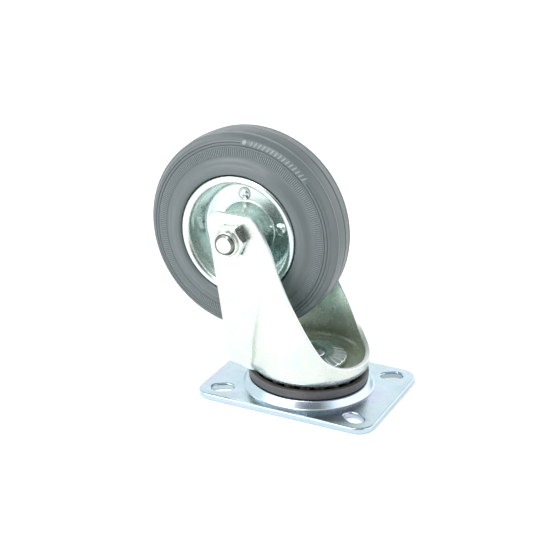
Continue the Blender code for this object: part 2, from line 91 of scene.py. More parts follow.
SHEET = 0.003                   # thickness of the fork's sheet
SHEET_ROUND = 0.00045           # rounding of its cut edges
LEG_FACE = 0.0245
LEG_FOOT = (-0.0427, 0.0188)    # where the leg's trailing edge ends below, in XZ
MOUTH_LIP = 0.0243              # height of the crown's low lip
BEND_START = 0.0295
CROWN_CORNER = 0.005
CROWN_STRAIGHT = 0.035
CROWN_LEAN = 1 / 14
FLOOR_BACK = 0.035
FLOOR_HOLE = 0.008

BOLT_RADIUS = 0.006
BOLT_CHAMFER = 0.0013
THREAD_PITCH = 0.0015
HEX_FLATS = 0.018
HEX_TURN = math.radians(24)
NUT_HEX = 0.0062
NUT_COLLAR = 0.0080
SLEEVE_RADIUS = 0.0075
HUB_BORE = 0.0109
HUB_RADIUS = 0.0124
RIM_SHEET = 0.0014
WEB_GAP = 0.0002                # from the wheel's middle to each rim half's web
RIM_FLANGE = 0.0366
WEB_RISE = 0.0011               # how far the web stands out at the hub
RIVET_CIRCLE = 0.022
RIVET_START = math.radians(98)
RIBS = 264                      # fine radial ribs moulded on each side wall
RIB_ENDS = (0.0486, 0.0538)     # radii where they start and end
GROOVES = (0.0583, 0.0566, 0.0548)  # radii of the side wall's three grooves
PLAQUE = (0.0552, 0.0597)       # radii of the raised blank panel on the side wall
PLAQUE_ARC = (math.radians(42), math.radians(91))
PANEL_RISE = 0.0003
SIDE_WALL = 0.0105              # the tyre's side walls lie beyond this from its middle
RIDGE = (0.0079, 0.0086)        # the same distance for the two shoulder ridges, lighter as a painted highlight
MOULDED = (0.0530, 0.0602)      # radii of the side wall that need closely spaced points

FLOOR_GLOW = 0.25
# The sky's strength is a product of ramps: (direction, span of its cosine, strengths)
SKY = (((-1, 0, 0), (-1.0, 1.0), (2.1, 1.3)),
       ((0.1, 0.3, 0.95), (0.66, 0.86), (1.0, 0.18)),
       ((0.51, -0.82, 0.25), (0.66, 0.95), (1.0, 0.05)))
KEY_POWER = 3.0
TOP_POWER = 0.9

CAMERA_ANGLES = (23.7, 22.1, 1.96)  # azimuth, elevation and roll in degrees
CAMERA_AIM = (-0.0196, 0.0708)  # sideways from the swivel axis in the view, and up
CAMERA_DISTANCE = 0.900
CAMERA_LENS = 96.3

FINE = 160                      # facets around a large round piece
SMALL = 64                      # and around a small one
SHARP = 38                      # edges that bend more than this are sharp, in degrees
WHEEL_PLACE = Matrix.Translation(AXLE) @ Matrix.Rotation(-math.pi / 2, 4, "X")


# ---- mesh helpers

def finish_mesh(name, bm, materials, place=None, sharp=SHARP):
    """Turns a bmesh into a shaded object in the scene."""
    bmesh.ops.recalc_face_normals(bm, faces=bm.faces)
    if place is not None:
        bmesh.ops.transform(bm, matrix=place, verts=bm.verts)
    mesh = bpy.data.meshes.new(name)
    bm.to_mesh(mesh)
    bm.free()
    for material in materials:
        mesh.materials.append(material)
    mesh.shade_smooth()
    mesh.set_sharp_from_angle(angle=math.radians(sharp))
    item = bpy.data.objects.new(name, mesh)
    bpy.context.scene.collection.objects.link(item)
    return item


def place_piece(item, body, slot, *nodes):
    """Ties a piece to its CAD body and hides the nodes that it stands for. The slot, its
    finish, is not used.
    """
    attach(item, body)
    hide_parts(*nodes)


def rounded(corners, arc_points=6, closed=True):
    """Points of a line through corners (x, y, radius), rounded with arcs."""
    outline = []
    last = len(corners) - 1
    for index, (x, y, radius) in enumerate(corners):
        here = Vector((x, y))
        if radius == 0 or (not closed and index in (0, last)):
            outline.append(here)
            continue
        before = Vector(corners[index - 1][:2]) - here
        after = Vector(corners[(index + 1) % len(corners)][:2]) - here
        half = before.angle(after) / 2
        centre = here + (before.normalized() + after.normalized()).normalized() * (
            radius / math.sin(half))
        reach = radius / math.tan(half)
        first = here + before.normalized() * reach - centre
        turn = first.angle_signed(here + after.normalized() * reach - centre)
        for step in range(arc_points + 1):
            arm = first.copy()
            arm.rotate(Matrix.Rotation(-turn * step / arc_points, 2))
            outline.append(centre + arm)
    return outline


def rounded_box(half_x, half_y, radius, arc_points):
    """Outline of a rectangle with round corners, around its middle."""
    return rounded([(side_x * half_x, side_y * half_y, radius)
                    for side_x, side_y in ((1, 1), (-1, 1), (-1, -1), (1, -1))], arc_points)


def polar(radius, angle, height=0.0):
    return radius * math.cos(angle), radius * math.sin(angle), height


def join_rings(bm, rings, slot=0):
    """Faces between each ring of vertices and the next."""
    for ring, after in zip(rings, rings[1:]):
        for index, vert in enumerate(ring):
            far = (index + 1) % len(ring)
            face = bm.faces.new((vert, ring[far], after[far], after[index]))
            face.material_index = slot


def sheet_profile(line, thickness, end_points=5):
    """A closed outline around a line of sheet, with round ends."""
    half = thickness / 2
    left, right = [], []
    normals = []
    for index, point in enumerate(line):
        before = line[max(index - 1, 0)]
        after = line[min(index + 1, len(line) - 1)]
        along = (after - before).normalized()
        normal = Vector((-along.y, along.x))
        normals.append(normal)
        left.append(point + normal * half)
        right.append(point - normal * half)

    def cap(point, normal):
        arc = []
        for step in range(1, end_points):
            arm = normal * half
            arm.rotate(Matrix.Rotation(-math.pi * step / end_points, 2))
            arc.append(point + arm)
        return arc

    return left + cap(line[-1], normals[-1]) + right[::-1] + cap(line[0], -normals[0])


def turn(bm, sections, closed=True):
    """Joins sections of (radius, height), one for each (angle, section), into a ring.

    A closed section is a ring's outline. An open one starts and ends on the axis.
    """
    rings = []
    poles = {}
    for angle, section in sections:
        ring = []
        for index, (radius, height) in enumerate(section):
            if radius == 0:
                if index not in poles:
                    poles[index] = bm.verts.new((0, 0, height))
                ring.append(poles[index])
            else:
                ring.append(bm.verts.new(polar(radius, angle, height)))
        rings.append(ring)
    count = len(rings[0])
    spans = count if closed else count - 1
    for place, ring in enumerate(rings):
        after = rings[(place + 1) % len(rings)]
        for index in range(spans):
            far = (index + 1) % count
            corners = []
            for vert in (ring[index], after[index], after[far], ring[far]):
                if vert not in corners:
                    corners.append(vert)
            bm.faces.new(corners)


def lathe(bm, profile, steps, closed=True):
    turn(bm, [(2 * math.pi * step / steps, profile) for step in range(steps)], closed)


def turned_piece(name, profile, steps, material, place=None, closed=True, sharp=SHARP):
    bm = bmesh.new()
    lathe(bm, profile, steps, closed)
    return finish_mesh(name, bm, [material], place, sharp)


def boolean(item, operation, cutter):
    """Applies an exact boolean with another object, which is then removed."""
    modifier = item.modifiers.new(cutter.name, "BOOLEAN")
    modifier.operation = operation
    modifier.object = cutter
    modifier.solver = "EXACT"
    apply_modifiers(item)
    bpy.data.objects.remove(cutter, do_unlink=True)


def apply_modifiers(item):
    graph = bpy.context.evaluated_depsgraph_get()
    mesh = bpy.data.meshes.new_from_object(item.evaluated_get(graph))
    item.modifiers.clear()
    item.data = mesh


def thick_sheet(bm, faces, outer, inner, edge):
    """A sheet's solid from matching outer and inner points, with rounded edges.

    faces lists the keys of each face's corners; outer and inner give a key's
    point on either surface. edge is the radius that rounds the cut edges, which
    take the second material.
    """
    top = {key: bm.verts.new(point) for key, point in outer.items()}
    under = {key: bm.verts.new(point) for key, point in inner.items()}
    border = {}
    for face in faces:
        made = bm.faces.new([top[key] for key in face])
        made.normal_update()
        bm.faces.new([under[key] for key in reversed(face)])
        for index, key in enumerate(face):
            after = face[(index + 1) % len(face)]
            if (after, key) in border:
                del border[(after, key)]
            else:
                border[(key, after)] = made.normal.copy()
    outward = {}
    for (key, after), normal in border.items():
        away = (outer[after] - outer[key]).cross(normal).normalized()
        outward.setdefault(key, []).append(away)
        outward.setdefault(after, []).append(away)
    rings = {}
    for key, ways in outward.items():
        way = (ways[0] + ways[-1]).normalized()
        reach = min(1.25, 1 / max(0.5, way.dot(ways[0])))
        across = (inner[key] - outer[key]).normalized()
        ring = [top[key]]
        for start, sign in ((outer[key], 1), (inner[key], -1)):
            corner = []
            for step in range(1, 4):
                angle = math.radians(30 * step)
                corner.append(bm.verts.new(
                    start + way * (edge * reach * math.sin(angle))
                    + across * (sign * edge * (1 - math.cos(angle)))))
            ring += corner if sign > 0 else corner[::-1]
        rings[key] = ring + [under[key]]
    for key, after in border:
        first, second = rings[key], rings[after]
        for index in range(len(first) - 1):
            side = bm.faces.new((first[index], first[index + 1],
                                 second[index + 1], second[index]))
            side.material_index = 1 if index else 0


# ---- material helpers

class Nodes:
    """Builds one procedural material around its Principled shader."""

    def __init__(self, name, roughness, metallic, **constants):
        self.material = bpy.data.materials.new(name)
        self.material.use_nodes = True
        self.tree = self.material.node_tree
        self.shader = self.tree.nodes["Principled BSDF"]
        self.shader.inputs["Roughness"].default_value = roughness
        self.shader.inputs["Metallic"].default_value = metallic
        for socket, value in constants.items():
            self.shader.inputs[socket.replace("_", " ")].default_value = value
        self.place = self.tree.nodes.new("ShaderNodeTexCoord").outputs["Object"]

    def link(self, output, target):
        self.tree.links.new(output, target)

    def noise(self, scale, detail=2.0, roughness=0.5):
        node = self.tree.nodes.new("ShaderNodeTexNoise")
        node.inputs["Scale"].default_value = scale
        node.inputs["Detail"].default_value = detail
        node.inputs["Roughness"].default_value = roughness
        self.link(self.place, node.inputs["Vector"])
        return node.outputs["Fac"]

    def span(self, value, low, high, to_low=0.0, to_high=1.0):
        node = self.tree.nodes.new("ShaderNodeMapRange")
        self.link(value, node.inputs["Value"])
        for socket, number in (("From Min", low), ("From Max", high),
                               ("To Min", to_low), ("To Max", to_high)):
            node.inputs[socket].default_value = number
        return node.outputs["Result"]

    def maths(self, operation, first, second):
        node = self.tree.nodes.new("ShaderNodeMath")
        node.operation = operation
        for socket, value in zip(node.inputs, (first, second)):
            if isinstance(value, (int, float)):
                socket.default_value = value
            else:
                self.link(value, socket)
        return node.outputs["Value"]

    def colours(self, value, stops):
        node = self.tree.nodes.new("ShaderNodeValToRGB")
        self.link(value, node.inputs["Fac"])
        ramp = node.color_ramp
        while len(ramp.elements) < len(stops):
            ramp.elements.new(0.5)
        for element, (place, colour) in zip(ramp.elements, stops):
            element.position = place
            element.color = (*colour, 1)
        return node.outputs["Color"]

    def mix(self, share, first, second):
        node = self.tree.nodes.new("ShaderNodeMix")
        node.data_type = "RGBA"
        self.link(share, node.inputs["Factor"])
        for socket, value in ((node.inputs[6], first), (node.inputs[7], second)):
            if isinstance(value, tuple):
                socket.default_value = (*value, 1)
            else:
                self.link(value, socket)
        return node.outputs[2]

    def axis(self, name):
        node = self.tree.nodes.new("ShaderNodeSeparateXYZ")
        self.link(self.place, node.inputs["Vector"])
        return node.outputs[name]

    def base(self, colour):
        self.link(colour, self.shader.inputs["Base Color"])

    def rough(self, value):
        self.link(value, self.shader.inputs["Roughness"])

    def bump(self, height, distance):
        node = self.tree.nodes.new("ShaderNodeBump")
        node.inputs["Strength"].default_value = 1.0
        node.inputs["Distance"].default_value = distance
        self.link(height, node.inputs["Height"])
        self.link(node.outputs["Normal"], self.shader.inputs["Normal"])

    def surface(self, fine, smear, gloss, depth):
        """Gloss between two values that follows the smears, and a bump of both noises."""
        self.rough(self.maths("ADD", self.span(smear, 0.3, 0.7, *gloss),
                              self.span(fine, 0.3, 0.7, -0.03, 0.03)))
        self.bump(self.maths("ADD", fine, self.maths("MULTIPLY", smear, 1.5)), depth)


def zinc(name, tints, roughness, cloud=38.0, grain=0.00002):
    """Zinc plating: clouded tints, uneven gloss and a fine satin grain."""
    nodes = Nodes(name, roughness, 1.0)
    clouds = nodes.noise(cloud, 3.0, 0.6)
    stops = [(0.32 + 0.36 * index / (len(tints) - 1), tint)
             for index, tint in enumerate(tints)]
    nodes.base(nodes.colours(clouds, stops))
    fine = nodes.noise(1400.0, 3.0, 0.6)
    smear = nodes.noise(110.0, 4.0, 0.65)
    uneven = nodes.maths("ADD", nodes.span(smear, 0.3, 0.7, -0.05, 0.06),
                         nodes.span(fine, 0.3, 0.7, -0.03, 0.03))
    nodes.rough(nodes.maths("ADD", uneven, roughness))
    nodes.bump(nodes.maths("ADD", fine, nodes.maths("MULTIPLY", smear, 0.6)), grain)
    return nodes


def make_zinc_plate():
    return zinc("zinc_plate", ((0.42, 0.56, 0.63), (0.46, 0.58, 0.64), (0.46, 0.51, 0.64)),
                0.24).material


def make_zinc_collar():
    """The pressed collar: its stretched surface is speckled like hammered metal."""
    nodes = zinc("zinc_collar", ((0.46, 0.53, 0.56), (0.52, 0.57, 0.58)), 0.29)
    speckle = nodes.noise(1900.0, 2.0, 0.5)
    patch = nodes.span(nodes.noise(60.0, 2.0), 0.45, 0.6)
    nodes.bump(nodes.maths("MULTIPLY", speckle, patch), 0.00025)
    return nodes.material


def make_zinc_fork():
    """Satin outside. The inner walls are duller, with a lighter and greener base: a painted
    reflection tint. Inside, towards the floor, they darken to olive: painted shade.
    """
    nodes = Nodes("zinc_fork", 0.24, 1.0)
    clouds = nodes.noise(42.0, 3.0, 0.6)
    outside_tone = nodes.colours(clouds, ((0.34, (0.58, 0.66, 0.62)), (0.52, (0.63, 0.67, 0.63)),
                                   (0.68, (0.59, 0.66, 0.65))))
    across = nodes.tree.nodes.new("ShaderNodeVectorMath")
    across.operation = "LENGTH"
    flat = nodes.tree.nodes.new("ShaderNodeVectorMath")
    flat.operation = "MULTIPLY"
    flat.inputs[1].default_value = (1, 1, 0)
    nodes.link(nodes.place, flat.inputs[0])
    nodes.link(flat.outputs["Vector"], across.inputs[0])
    inside = nodes.span(across.outputs["Value"], CROWN_RADIUS - 0.0005,
                        CROWN_RADIUS - SHEET)
    # Painted shade: inside the crown the zinc darkens to olive towards the floor, broken up
    # by noise.
    low = nodes.span(nodes.axis("Z"), 0.046, 0.028)
    painted_floor_shade = nodes.maths("MULTIPLY", nodes.maths("MULTIPLY", inside, low),
                         nodes.span(nodes.noise(55.0, 2.0), 0.3, 0.7, 0.75, 0.95))
    # Painted reflection tint: the inner walls get a lighter, greener base than the outside.
    walls = nodes.mix(inside, outside_tone, (0.67, 0.83, 0.75))
    nodes.base(nodes.mix(painted_floor_shade, walls, (0.42, 0.46, 0.35)))
    metal_share = nodes.maths("MULTIPLY", nodes.span(inside, 0.0, 1.0, 1.0, 0.62),
                       nodes.span(painted_floor_shade, 0.0, 1.0, 1.0, 0.6))
    nodes.link(metal_share, nodes.shader.inputs["Metallic"])
    nodes.surface(nodes.noise(1200.0, 3.0, 0.6), nodes.noise(90.0, 4.0, 0.65),
                  (0.20, 0.32), 0.00002)
    return nodes.material


def make_rubber(name, tone):
    """Grey non-marking rubber: faint bloom, dusty patches and a soft grain."""
    nodes = Nodes(name, 0.40, 0.0, IOR=1.5)
    bloom = nodes.noise(30.0, 4.0, 0.6)
    stops = [(place, tuple(tone * part for part in tint)) for place, tint in (
        (0.30, (0.104, 0.127, 0.132)), (0.50, (0.112, 0.136, 0.141)),
        (0.70, (0.120, 0.144, 0.149)))]
    nodes.base(nodes.colours(bloom, stops))
    nodes.surface(nodes.noise(2600.0, 2.0, 0.5), nodes.noise(160.0, 3.0, 0.6),
                  (0.34, 0.44), 0.00003)
    return nodes.material


def make_plastic(name, dark, light, roughness, grain):
    nodes = Nodes(name, roughness, 0.0)
    nodes.base(nodes.colours(nodes.noise(80.0, 3.0), ((0.35, dark), (0.65, light))))
    fine = nodes.noise(1800.0, 2.0)
    nodes.rough(nodes.span(nodes.noise(240.0, 3.0), 0.3, 0.7,
                           roughness - 0.08, roughness + 0.10))
    nodes.bump(fine, grain)
    return nodes.material


def make_shade_dark_steel():
    """Balls painted near black, a painted shade for the dark gap they sit in, with little of
    the steel showing through.
    """
    nodes = Nodes("steel_painted_shade", 0.4, 0.5)
    nodes.base(nodes.colours(nodes.noise(260.0, 3.0), ((0.40, (0.020, 0.018, 0.014)),
                                                       (0.75, (0.070, 0.062, 0.050)))))
    nodes.rough(nodes.span(nodes.noise(400.0, 3.0), 0.3, 0.7, 0.32, 0.50))
    nodes.bump(nodes.noise(500.0, 3.0), 0.0001)
    return nodes.material


def make_steel():
    """Ground bearing steel under a thin greasy film."""
    nodes = Nodes("ball_steel", 0.12, 1.0)
    nodes.base(nodes.colours(nodes.noise(300.0, 2.0), ((0.35, (0.40, 0.40, 0.39)),
                                                       (0.65, (0.48, 0.49, 0.50)))))
    nodes.rough(nodes.span(nodes.noise(500.0, 3.0), 0.3, 0.7, 0.08, 0.22))
    nodes.bump(nodes.noise(2400.0, 2.0), 0.000008)
    return nodes.material


# ---- plate and head

def curve_slab(name, outlines, thickness, edge, material):
    """A slab with rounded edges; the first outline is filled, the others are holes."""
    curve = bpy.data.curves.new(name, "CURVE")
    curve.dimensions = "2D"
    curve.fill_mode = "BOTH"
    curve.extrude = thickness / 2 - edge
    curve.bevel_depth = edge
    curve.bevel_resolution = 3
    curve.offset = -edge
    for outline in outlines:
        spline = curve.splines.new("POLY")
        spline.points.add(len(outline) - 1)
        for point, place in zip(spline.points, outline):
            point.co = (place[0], place[1], 0, 1)
        spline.use_cyclic_u = True
    source = bpy.data.objects.new(name, curve)
    bpy.context.scene.collection.objects.link(source)
    graph = bpy.context.evaluated_depsgraph_get()
    mesh = bpy.data.meshes.new_from_object(source.evaluated_get(graph))
    bpy.data.objects.remove(source, do_unlink=True)
    bm = bmesh.new()
    bm.from_mesh(mesh)
    bmesh.ops.remove_doubles(bm, verts=bm.verts, dist=0.000002)
    return finish_mesh(name, bm, [material], Matrix.Translation((0, 0, thickness / 2)))


def slot_outline(side_x, side_y):
    """A long hole that points at the plate's middle."""
    x, y = side_x * SLOT_SPACING[0] / 2, side_y * SLOT_SPACING[1] / 2
    half_width = SLOT_SIZE[1] / 2
    spin = Matrix.Rotation(math.atan2(y, x), 2)
    outline = []
    for arm in rounded_box(SLOT_SIZE[0] / 2, half_width, half_width * 0.999, 12):
        arm.rotate(spin)
        outline.append((x + arm.x, y + arm.y))
    return outline[::-1]


def make_plate(zinc_plate, zinc_collar):
    outline = rounded_box(PLATE_LENGTH / 2, PLATE_WIDTH / 2, PLATE_CORNER, 16)
    slots = [slot_outline(side_x, side_y) for side_x in (-1, 1) for side_y in (-1, 1)]
    plate = curve_slab("plate", [outline] + slots, PLATE_SHEET, PLATE_ROUND, zinc_plate)
    ball, row, _ = LOAD_BALL
    track = rounded(((row + ball + 0.001, COLLAR_TOP, 0), (row + ball, COLLAR_TOP, 0),
                     (row, COLLAR_TOP - 0.0016, 0.0058), (row - ball, COLLAR_TOP, 0),
                     (row - ball - 0.001, COLLAR_TOP, 0)), 8, closed=False)
    rise = rounded(((COLLAR_FOOT + 0.0013, PLATE_SHEET - 0.0003, 0),
                    (COLLAR_FOOT + 0.0012, PLATE_SHEET + 0.00002, 0),
                    (COLLAR_FOOT - 0.0001, PLATE_SHEET + 0.0001, 0.0020),
                    (0.0387, COLLAR_TOP - 0.0022, 0.003),
                    (0.0373, COLLAR_TOP, 0.0014),
                    (0.0340, COLLAR_TOP, 0)), 10, closed=False)
    profile = ([(0, PLATE_SHEET / 2), (COLLAR_FOOT - 0.003, PLATE_SHEET / 2)]
               + [tuple(point) for point in rise]
               + [tuple(point) for point in track] + [(0, COLLAR_TOP)])
    boolean(plate, "UNION", turned_piece("collar", profile, FINE, zinc_collar,
                                         closed=False))
    under = COLLAR_TOP - PLATE_SHEET
    hole = PIN_SHANK + GAP
    hollow = rounded(((0, 0.02, 0), (hole, 0.02, 0), (hole, under, 0),
                      (0.0330, under, 0.002), (0.0350, 0.0002, 0.0012),
                      (0.0372, -0.0004, 0), (0.0372, -0.002, 0), (0, -0.002, 0)),
                     6, closed=False)
    boolean(plate, "DIFFERENCE", turned_piece("hollow", [tuple(p) for p in hollow], FINE,
                                              zinc_plate, closed=False))
    plate.data.shade_smooth()
    plate.data.set_sharp_from_angle(angle=math.radians(SHARP))
    weighted = plate.modifiers.new("weighted", "WEIGHTED_NORMAL")
    weighted.keep_sharp = True
    weighted.weight = 100
    place_piece(plate, "plate_assembly", "zinc_plate", "top_plate")


def make_seal(plastic):
    low, high = SEAL_LOW.z, SEAL_HIGH.z
    outer, inner = SEAL_HIGH.x, 0.0336
    profile = rounded(((inner, high, 0.0003), (outer, high, 0.0006),
                       (outer, low + 0.0012, 0.0008), (outer - 0.0008, low, 0.0003),
                       (inner, low, 0.0003)), 4)
    seal = turned_piece("seal", profile, FINE, plastic)
    place_piece(seal, "plate_assembly", "black_plastic", "seal_ring")


def make_king_pin(material):
    """The rivet through the head, domed above and flush with the mounting face."""
    seat = PIN_TOP - PIN_TOP_HEAD
    under_plate = COLLAR_TOP - PLATE_SHEET - GAP
    profile = rounded(((0, PIN_TOP - 0.0004, 0), (0.0024, PIN_TOP - 0.0004, 0.001),
                       (0.0034, PIN_TOP, 0.001), (0.0060, PIN_TOP - 0.0003, 0.004),
                       (0.0094, seat + 0.0008, 0.002), (0.0100, seat, 0),
                       (PIN_SHANK, seat, 0), (PIN_SHANK, under_plate, 0),
                       (PIN_HEAD, under_plate, 0.0004), (PIN_HEAD, 0, 0.0005),
                       (0, 0, 0)), 5, closed=False)
    pin = turned_piece("king_pin_rivet", profile, SMALL, material, closed=False)
    place_piece(pin, "plate_assembly", "zinc_bright", "king_pin")


def make_cup(material):
    """The cone washer, clear of the locking balls below, with pressed radial flutes."""
    per_flute, depth = 12, 0.0011
    edge, top = CUP_HIGH.x, CUP_HIGH.z
    seat = PIN_TOP - PIN_TOP_HEAD - GAP
    under = seat - CUP_SHEET
    bore = PIN_SHANK + GAP
    outline = rounded(((bore, seat, 0), (0.0113, seat, 0.0012),
                       (0.0134, top - 0.0014, 0.0010), (0.0158, top - 0.0014, 0.0016),
                       (edge - 0.0004, 0.0236, 0.0010), (edge, CUP_LOW.z + 0.0003, 0.0004),
                       (edge - 0.0014, CUP_LOW.z + 0.0001, 0.0003),
                       (0.0194, 0.0226, 0.001), (0.0176, 0.02355, 0.001),
                       (0.0146, top - 0.0031, 0.0008), (0.0126, under, 0.001),
                       (bore, under, 0)), 5)
    slope_in, slope_out = 0.0142, edge
    sections = []
    steps = FLUTES * per_flute
    for step in range(steps):
        wave = 0.5 - 0.5 * math.cos(2 * math.pi * step / per_flute)
        section = []
        for radius, height in outline:
            share = (radius - slope_in) / (slope_out - slope_in)
            on_top = height > CUP_LOW.z + 0.0013 + 0.0020 * (1 - share)
            lift = max(0.0, math.sin(math.pi * min(1.0, max(0.0, share)))) ** 0.5
            sunk = depth * (1 - wave) * lift if on_top else 0.0
            section.append((radius, height - sunk))
        sections.append((2 * math.pi * step / steps, section))
    bm = bmesh.new()
    turn(bm, sections)
    cup = finish_mesh("fluted_cup", bm, [material], sharp=60)
    place_piece(cup, "plate_assembly", "zinc_bright", "retaining_cup")


def make_ball_row(name, ball_row, height, body, nodes, material):
    ball, row, count = ball_row
    bm = bmesh.new()
    for index in range(count):
        place = Matrix.Translation(polar(row, 2 * math.pi * index / count, height))
        bmesh.ops.create_uvsphere(bm, u_segments=24, v_segments=14, radius=ball,
                                  matrix=place)
    balls = finish_mesh(name, bm, [material])
    place_piece(balls, body, "ball_steel", *nodes)


# ---- fork

def crown_line(radius, half_width):
    """The crown seen along the swivel axis: (x, y) from the far leg to the near one."""
    fillet = (BEND_START ** 2 + half_width ** 2 - radius ** 2) / (
        2 * (radius - half_width))
    across = half_width + fillet
    sweep = math.atan2(BEND_START, across)
    bend_steps, arc_steps = 8, 92
    far = []
    for step in range(bend_steps + 1):
        angle = sweep * step / bend_steps
        far.append((-BEND_START + fillet * math.sin(angle),
                    across - fillet * math.cos(angle)))
    start = math.atan2(far[-1][1], far[-1][0])
    arc = [polar(radius, start * (1 - 2 * step / arc_steps))[:2]
           for step in range(1, arc_steps)]
    return far + arc + [(x, -y) for x, y in reversed(far)]


def mouth_line():
    """Top edge of the fork in XZ: leg top, slanted mouth and the low lip."""
    edge = SHEET_ROUND
    top, lip = FORK_TOP - edge, MOUTH_LIP - edge
    return rounded(((LEG_FOOT[0] + edge, LEG_FOOT[1], 0), (-0.0606 + edge, top, 0.007),
                    (-BEND_START - edge, top, 0.007), (0.0285 - edge, lip, 0.030),
                    (0.06, lip, 0)), 14, closed=False)


def height_on(line, x):
    """Height of a falling line of points at x."""
    for first, second in zip(line, line[1:]):
        if first.x <= x <= second.x:
            share = (x - first.x) / max(second.x - first.x, 1e-9)
            return first.y + (second.y - first.y) * share
    return line[-1].y


def floor_press(radius):
    """The rings pressed into the floor: a ridge over the balls, a dip for the lock row."""
    height = 0.0
    for centre, width, rise in ((LOAD_BALL[1], 0.0030, 0.0004),
                                (LOCK_BALL[1], 0.0034, -0.0010)):
        share = min(1.0, abs(radius - centre) / width)
        height += rise * (0.5 + 0.5 * math.cos(math.pi * share))
    return height


def fork_points(inset):
    """Points of the fork's surface at a depth below its outside, by key, and faces."""
    half_width = LEG_FACE - inset
    corner = CROWN_CORNER - min(inset, 0.0005)
    base = FLOOR_BOTTOM + inset
    turns = [math.radians(angle) for angle in (0, 15, 30, 45, 60, 75, 90)]
    wall_rows, floor_rows = 26, 22
    line = mouth_line()

    # legs: straight columns from the bottom edge to the top edge
    split = next(index for index, point in enumerate(line) if point.x > -BEND_START)
    top_edge = line[1:split]
    trail_foot = Vector((LEG_FOOT[0] + SHEET_ROUND, LEG_FOOT[1] + SHEET_ROUND * 0.5))
    bend_top = Vector((-BEND_START, height_on(line, -BEND_START)))
    top_edge.append(bend_top)
    length = [0.0]
    for first, second in zip(top_edge, top_edge[1:]):
        length.append(length[-1] + (second - first).length)
    bend_foot = Vector((-BEND_START, FLOOR_BOTTOM + SHEET_ROUND * 0.5))
    leg = []
    for point, along in list(zip(top_edge, length))[:-1]:
        foot = trail_foot.lerp(bend_foot, along / length[-1])
        rows = []
        for row in range(len(turns) + wall_rows):
            if row < len(turns):
                height = foot.y + CROWN_CORNER * (1 - math.cos(turns[row]))
            else:
                share = (row - len(turns) + 1) / wall_rows
                height = foot.y + CROWN_CORNER + (point.y - foot.y - CROWN_CORNER) * share
            share = (height - foot.y) / (point.y - foot.y)
            rows.append(Vector((foot.x + (point.x - foot.x) * share, height)))
        leg.append(rows)

    # crown: sections of the same number of points, cut off at the mouth
    columns = len(crown_line(CROWN_RADIUS, LEG_FACE))
    crown = [[] for _ in range(columns)]
    for angle in turns:
        radius = CROWN_RADIUS - inset - corner * (1 - math.sin(angle))
        height = base + corner * (1 - math.cos(angle))
        for column, (x, y) in enumerate(crown_line(radius, half_width)):
            crown[column].append(Vector((x, y, height)))
    cache = {}

    def wall_point(column, height):
        level = round(height, 6)
        if level not in cache:
            radius = CROWN_RADIUS - max(0.0, height - CROWN_STRAIGHT) * CROWN_LEAN
            cache[level] = (crown_line(radius - inset, half_width),
                            crown_line(radius, LEG_FACE))
        return [crown_points[column] for crown_points in cache[level]]

    for column in range(columns):
        top = FORK_TOP / 2
        for _ in range(12):
            _, outside = wall_point(column, top)
            top = height_on(line, outside[0])
        low = base + corner
        for row in range(1, wall_rows + 1):
            height = low + (top - low) * row / wall_rows
            (x, y), _ = wall_point(column, height)
            crown[column].append(Vector((x, y, height)))

    points = {}
    count = len(leg)
    for column, rows in enumerate(leg):
        for row, place in enumerate(rows):
            points["w", column, row] = Vector((place.x, half_width, place.y))
            mirrored = 2 * count + columns - 1 - column
            points["w", mirrored, row] = Vector((place.x, -half_width, place.y))
    for column in range(columns):
        for row, place in enumerate(crown[column]):
            points["w", count + column, row] = place

    # floor: from the crown's foot, and behind it from a round back edge, to the hole
    rim_keys = [("w", count + column, 0) for column in range(columns)]
    first, last = points[rim_keys[0]], points[rim_keys[-1]]
    start = math.atan2(last.y, last.x) % (2 * math.pi)
    stop = math.atan2(first.y, first.x)
    back_steps = 26
    reach = math.hypot(first.x, first.y)
    for step in range(1, back_steps):
        angle = start + (stop - start) * step / back_steps
        side = abs(2 * step / back_steps - 1)
        radius = FLOOR_BACK + (reach - FLOOR_BACK) * side ** 8
        points["b", step, 0] = Vector(polar(radius, angle, base))
        rim_keys.append(("b", step, 0))
    for index, key in enumerate(rim_keys):
        place = points[key]
        hole_x, hole_y, _ = polar(FLOOR_HOLE + SHEET_ROUND, math.atan2(place.y, place.x))
        for row in range(1, floor_rows + 1):
            share = row / floor_rows
            x = place.x + (hole_x - place.x) * share
            y = place.y + (hole_y - place.y) * share
            points["f", index, row] = Vector((x, y, base + floor_press(math.hypot(x, y))))

    faces = []
    for column in range(2 * count + columns - 1):
        for row in range(len(turns) + wall_rows - 1):
            faces.append((("w", column, row), ("w", column + 1, row),
                          ("w", column + 1, row + 1), ("w", column, row + 1)))
    total = len(rim_keys)
    for index in range(total):
        after = (index + 1) % total
        here = [rim_keys[index]] + [("f", index, row) for row in range(1, floor_rows + 1)]
        there = [rim_keys[after]] + [("f", after, row) for row in range(1, floor_rows + 1)]
        for row in range(floor_rows):
            faces.append((there[row], here[row], here[row + 1], there[row + 1]))
    return points, faces


def make_fork(material, cut):
    outer, faces = fork_points(0)
    inner, _ = fork_points(SHEET)
    bm = bmesh.new()
    thick_sheet(bm, faces, outer, inner, SHEET_ROUND)
    fork = finish_mesh("pressed_fork", bm, [material, cut])
    bm = bmesh.new()
    bmesh.ops.create_cone(bm, cap_ends=True, segments=48, depth=0.08,
                          radius1=BOLT_RADIUS + GAP, radius2=BOLT_RADIUS + GAP)
    boolean(fork, "DIFFERENCE", finish_mesh("bolt_hole", bm, [], WHEEL_PLACE))
    place_piece(fork, "fork_assembly", "zinc_fork", "fork")


# ---- axle
# Along the axle, local +Z is the far side (+Y) and -Z the near side (-Y).

